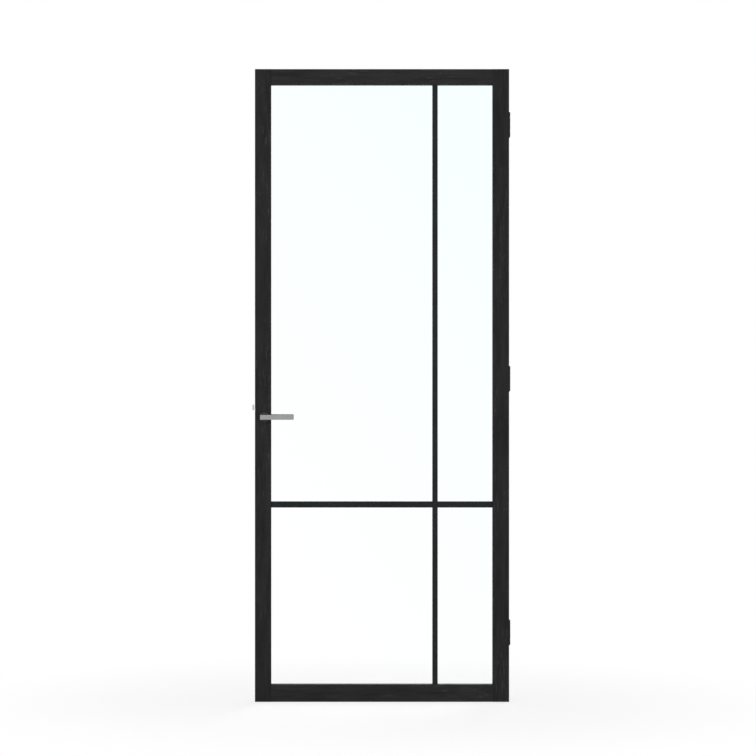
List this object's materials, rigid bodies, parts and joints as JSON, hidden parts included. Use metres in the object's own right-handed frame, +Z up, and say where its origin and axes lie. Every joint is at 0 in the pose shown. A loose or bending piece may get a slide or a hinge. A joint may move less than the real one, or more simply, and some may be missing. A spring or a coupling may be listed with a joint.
{
  "type": "glass door",
  "caption": "Slim timber-framed glass door leaf with glazing bars, a flat lever that draws a sprung latch, and butt hinges along one edge.",
  "frame": {"origin": "middle of the leaf's bottom face: halfway across its width and its thickness", "axes": "+X across the leaf from the lock side to the hinge side, +Y from the front face to the back, where the hinge knuckles are, +Z up along the leaf"},
  "size_m": [0.9477, 0.136, 2.315],
  "materials": {
    "stained_timber": "black stained and lacquered, fine grain",
    "painted_bars": "smooth black paint",
    "bare_timber": "bare beech",
    "glass": "clear toughened glass",
    "rubber": "black foam tape and blocks",
    "bright_steel": "zinc plated",
    "latch_metal": "satin nickel plated",
    "lever_steel": "satin stainless steel",
    "black_metal": "satin black",
    "bearing_steel": "ground",
    "nylon": "natural"
  },
  "bodies": {
    "frame_side_hinges": {"top_hinge_frame_plate": "black_metal", "top_hinge_pin": "black_metal", "middle_hinge_frame_plate": "black_metal", "middle_hinge_pin": "black_metal", "bottom_hinge_frame_plate": "black_metal", "bottom_hinge_pin": "black_metal", "hinge_bearings": "bearing_steel"},
    "leaf": {"lock_stile": "stained_timber", "hinge_stile": "stained_timber", "top_rail": "stained_timber", "bottom_rail": "stained_timber", "corner_dowels": "bare_timber", "glass_pane": "glass", "front_glazing_tape": "rubber", "back_glazing_tape": "rubber", "setting_blocks": "rubber", "top_bead": "stained_timber", "bottom_bead": "stained_timber", "lock_side_bead": "stained_timber", "hinge_side_bead": "stained_timber", "bead_pins": "black_metal", "front_upright_bar": "painted_bars", "front_wide_cross_bar": "painted_bars", "front_narrow_cross_bar": "painted_bars", "front_bar_tapes": "rubber", "back_upright_bar": "painted_bars", "back_wide_cross_bar": "painted_bars", "back_narrow_cross_bar": "painted_bars", "back_bar_tapes": "rubber", "lock_case": "bright_steel", "lock_case_cover": "bright_steel", "lock_case_screws": "bright_steel", "lock_forend": "bright_steel", "forend_screws": "bright_steel", "latch_spring": "bright_steel", "front_rose": "black_metal", "back_rose": "black_metal", "front_rose_base": "bright_steel", "back_rose_base": "bright_steel", "rose_screws": "bright_steel", "front_lever_bush": "nylon", "back_lever_bush": "nylon", "top_hinge_leaf_plate": "black_metal", "middle_hinge_leaf_plate": "black_metal", "bottom_hinge_leaf_plate": "black_metal", "hinge_screws": "black_metal"},
    "lever_set": {"front_lever": "lever_steel", "back_lever": "lever_steel", "spindle": "bright_steel", "follower": "bright_steel", "lever_grub_screws": "black_metal"},
    "latch": {"latch_bolt": "latch_metal"}
  },
  "joints": [
    {"name": "leaf_swing", "type": "hinge", "parent": "frame_side_hinges", "child": "leaf", "pos_m": [0.46625, 0.0275, 1.1825], "axis": [0, 0, -1], "range_deg": [0, 175]},
    {"name": "lever_turn", "type": "hinge", "parent": "leaf", "child": "lever_set", "pos_m": [-0.43, 0, 1.042], "axis": [0, 1, 0], "range_deg": [0, 38], "stiffness_Nm_per_rad": 1.5, "springref_deg": -57.3},
    {"name": "latch_slide", "type": "slide", "parent": "leaf", "child": "latch", "axis": [1, 0, 0], "range_m": [0, 0.0105], "deforming": ["latch_spring"]}
  ],
  "couplings": [
    {"joint": "latch_slide", "follows": "lever_turn", "m_per_rad": 0.015772}
  ]
}
